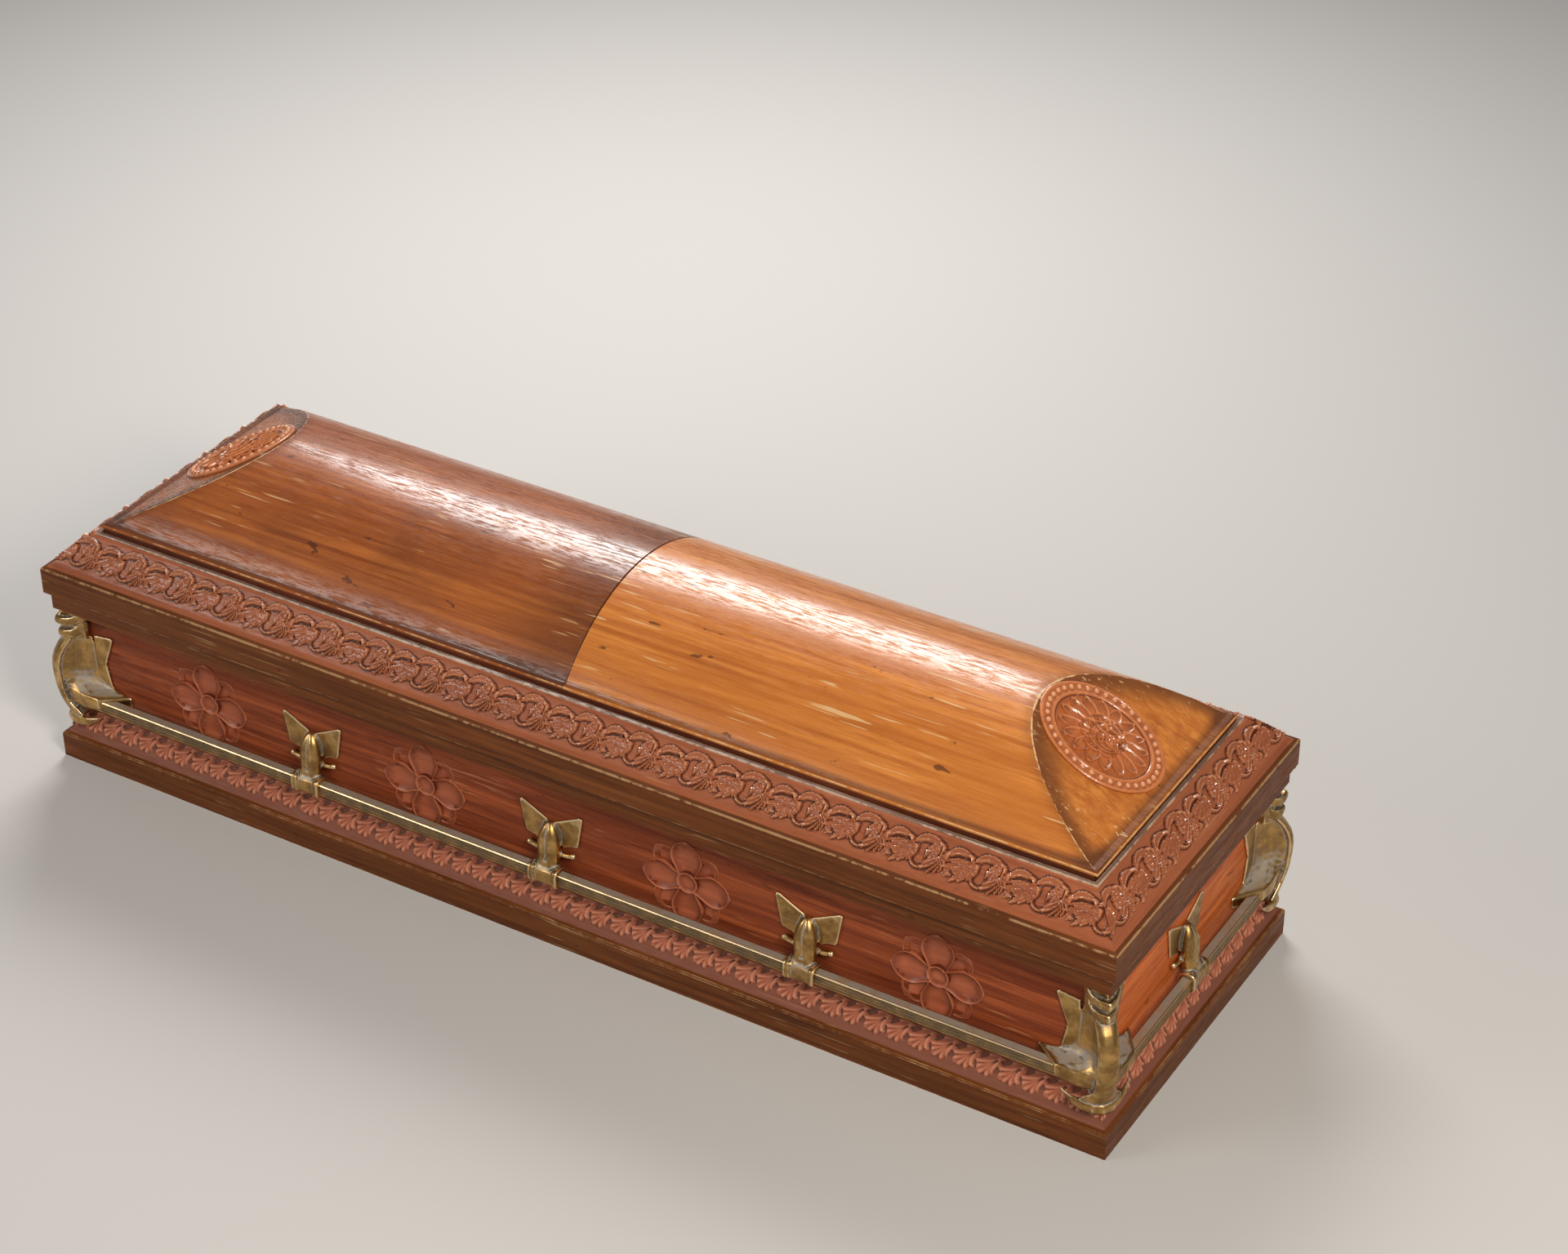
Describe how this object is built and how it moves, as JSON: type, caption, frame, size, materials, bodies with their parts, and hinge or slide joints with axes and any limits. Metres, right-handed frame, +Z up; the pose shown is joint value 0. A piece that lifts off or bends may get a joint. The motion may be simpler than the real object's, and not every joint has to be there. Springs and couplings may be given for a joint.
{
  "type": "casket",
  "caption": "Carved wooden casket: hipped vault lid on rear hinges, leaf-carved mouldings, brass carrying bars on brackets and corner castings, linen lining and pillow.",
  "frame": {"origin": "on the floor under the middle of the base", "axes": "+X along the length, head end at -X; +Y towards the hinged back; +Z up"},
  "size_m": [2.1138, 0.6738, 0.5823],
  "materials": {
    "edge_wood": "dark stained, worn at the edges",
    "carved_wood": "stained and lacquered carving",
    "panel_wood": "red-brown lacquered",
    "crown_wood": "honey-brown lacquered, gloss",
    "brass": "antique brass, worn bright",
    "linen": "plain woven"
  },
  "bodies": {
    "box": {"bottom_board": "edge_wood", "box_rim_front": "edge_wood", "box_rim_right": "edge_wood", "box_rim_back": "edge_wood", "box_rim_left": "edge_wood", "base_moulding_front": "carved_wood", "base_moulding_right": "carved_wood", "base_moulding_back": "carved_wood", "base_moulding_left": "carved_wood", "panel_front": "panel_wood", "panel_right": "panel_wood", "panel_back": "panel_wood", "panel_left": "panel_wood", "floor_lining": "linen", "pillow": "linen", "wall_lining_front": "linen", "wall_lining_right": "linen", "wall_lining_back": "linen", "wall_lining_left": "linen", "bar_front": "brass", "bar_right": "brass", "bar_back": "brass", "bar_left": "brass", "bracket_front_1": "brass", "bracket_front_2": "brass", "bracket_front_3": "brass", "bracket_back_1": "brass", "bracket_back_2": "brass", "bracket_back_3": "brass", "bracket_right": "brass", "bracket_left": "brass", "corner_front_right": "brass", "corner_back_right": "brass", "corner_back_left": "brass", "corner_front_left": "brass", "hinge_box_leaf_1": "brass", "hinge_box_leaf_2": "brass", "hinge_box_leaf_3": "brass"},
    "lid": {"lid_border_front": "carved_wood", "lid_border_right": "carved_wood", "lid_border_back": "carved_wood", "lid_border_left": "carved_wood", "crown_left": "crown_wood", "crown_right": "crown_wood", "medallion_right": "carved_wood", "medallion_left": "carved_wood", "lid_lining_left": "linen", "lid_lining_right": "linen", "lid_divider": "edge_wood", "hinge_lid_leaf_1": "brass", "hinge_lid_leaf_2": "brass", "hinge_lid_leaf_3": "brass"}
  },
  "joints": [
    {"name": "lid_hinge", "type": "hinge", "parent": "box", "child": "lid", "pos_m": [0, 0.328, 0.34815], "axis": [-1, 0, 0], "range_deg": [0, 55]}
  ]
}
